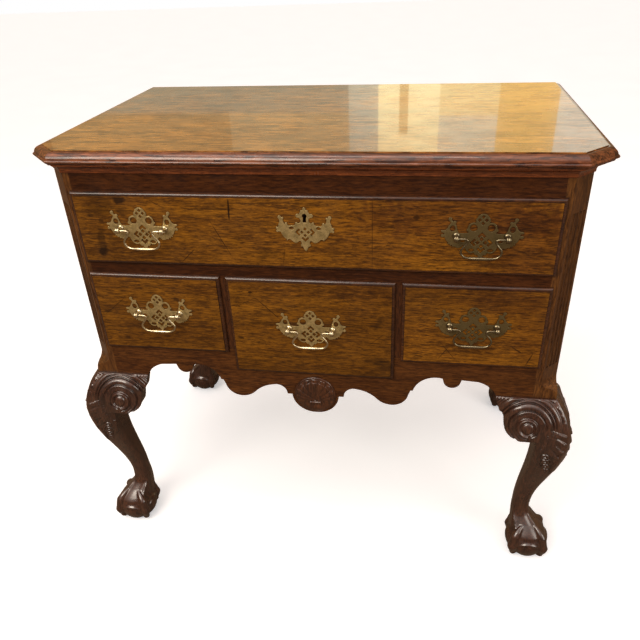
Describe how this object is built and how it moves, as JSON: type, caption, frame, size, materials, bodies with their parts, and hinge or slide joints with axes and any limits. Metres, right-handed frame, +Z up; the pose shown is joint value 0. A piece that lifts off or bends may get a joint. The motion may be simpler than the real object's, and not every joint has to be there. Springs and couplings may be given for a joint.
{
  "type": "lowboy",
  "caption": "Dressing table with a long drawer over a deep drawer between short ones, scalloped apron with a shell, carved cabriole legs on ball-and-claw feet and pierced drop handles.",
  "frame": {"origin": "on the floor under the middle of the case", "axes": "+Z up, the drawers face -Y, +X to the right of someone facing them"},
  "size_m": [0.887, 0.542, 0.786],
  "materials": {
    "figured_top": "polished figured walnut",
    "figured_front": "polished figured walnut",
    "case_wood": "polished red-brown wood",
    "carved_wood": "polished dark wood",
    "secondary_wood": "unfinished pale wood",
    "brass": "aged cast brass",
    "lock_iron": "dark iron"
  },
  "bodies": {
    "case": {"apron_shell": "carved_wood", "back_board": "secondary_wood", "cove_moulding_front": "case_wood", "cove_moulding_sides": "case_wood", "drawer_dividers": "case_wood", "drawer_guides": "secondary_wood", "front_apron": "case_wood", "knee_brackets_front_left": "carved_wood", "knee_brackets_front_right": "carved_wood", "knee_brackets_rear": "carved_wood", "leg_front_left": "carved_wood", "leg_front_right": "carved_wood", "leg_rear_left": "carved_wood", "leg_rear_right": "carved_wood", "lower_drawer_runners": "secondary_wood", "middle_rail": "case_wood", "partition_guides": "secondary_wood", "side_panel_left": "case_wood", "side_panel_right": "case_wood", "top_board": "figured_top", "top_kickers": "secondary_wood", "top_rail": "case_wood", "upper_drawer_runners": "secondary_wood"},
    "top_drawer": {"escutcheon": "brass", "lock_case": "lock_iron", "top_drawer_back": "secondary_wood", "top_drawer_bottom": "secondary_wood", "top_drawer_front": "figured_front", "top_drawer_sides": "secondary_wood", "top_pull_left_plate": "brass", "top_pull_left_posts": "brass", "top_pull_right_plate": "brass", "top_pull_right_posts": "brass"},
    "left_drawer": {"left_drawer_back": "secondary_wood", "left_drawer_bottom": "secondary_wood", "left_drawer_front": "figured_front", "left_drawer_sides": "secondary_wood", "left_pull_plate": "brass", "left_pull_posts": "brass"},
    "middle_drawer": {"middle_drawer_back": "secondary_wood", "middle_drawer_bottom": "secondary_wood", "middle_drawer_front": "figured_front", "middle_drawer_sides": "secondary_wood", "middle_pull_plate": "brass", "middle_pull_posts": "brass"},
    "right_drawer": {"right_drawer_back": "secondary_wood", "right_drawer_bottom": "secondary_wood", "right_drawer_front": "figured_front", "right_drawer_sides": "secondary_wood", "right_pull_plate": "brass", "right_pull_posts": "brass"},
    "left_pull_bail": {"left_pull_bail": "brass"},
    "lock_bolt": {"lock_bolt": "lock_iron"},
    "middle_pull_bail": {"middle_pull_bail": "brass"},
    "right_pull_bail": {"right_pull_bail": "brass"},
    "top_pull_left_bail": {"top_pull_left_bail": "brass"},
    "top_pull_right_bail": {"top_pull_right_bail": "brass"}
  },
  "joints": [
    {"name": "top_drawer_slide", "type": "slide", "parent": "case", "child": "top_drawer", "axis": [0, -1, 0], "range_m": [0, 0.32]},
    {"name": "left_drawer_slide", "type": "slide", "parent": "case", "child": "left_drawer", "axis": [0, -1, 0], "range_m": [0, 0.32]},
    {"name": "middle_drawer_slide", "type": "slide", "parent": "case", "child": "middle_drawer", "axis": [0, -1, 0], "range_m": [0, 0.32]},
    {"name": "right_drawer_slide", "type": "slide", "parent": "case", "child": "right_drawer", "axis": [0, -1, 0], "range_m": [0, 0.32]},
    {"name": "top_pull_left_swing", "type": "hinge", "parent": "top_drawer", "child": "top_pull_left_bail", "pos_m": [-0.262, -0.2573, 0.6639], "axis": [-1, 0, 0], "range_deg": [-15, 165]},
    {"name": "top_pull_right_swing", "type": "hinge", "parent": "top_drawer", "child": "top_pull_right_bail", "pos_m": [0.262, -0.2573, 0.6639], "axis": [-1, 0, 0], "range_deg": [-15, 165]},
    {"name": "left_pull_swing", "type": "hinge", "parent": "left_drawer", "child": "left_pull_bail", "pos_m": [-0.262, -0.2573, 0.5099], "axis": [-1, 0, 0], "range_deg": [-15, 165]},
    {"name": "middle_pull_swing", "type": "hinge", "parent": "middle_drawer", "child": "middle_pull_bail", "pos_m": [0, -0.2573, 0.4914], "axis": [-1, 0, 0], "range_deg": [-15, 165]},
    {"name": "right_pull_swing", "type": "hinge", "parent": "right_drawer", "child": "right_pull_bail", "pos_m": [0.262, -0.2573, 0.5099], "axis": [-1, 0, 0], "range_deg": [-15, 165]},
    {"name": "lock_bolt_throw", "type": "slide", "parent": "top_drawer", "child": "lock_bolt", "axis": [0, 0, 1], "range_m": [0, 0.008]}
  ]
}
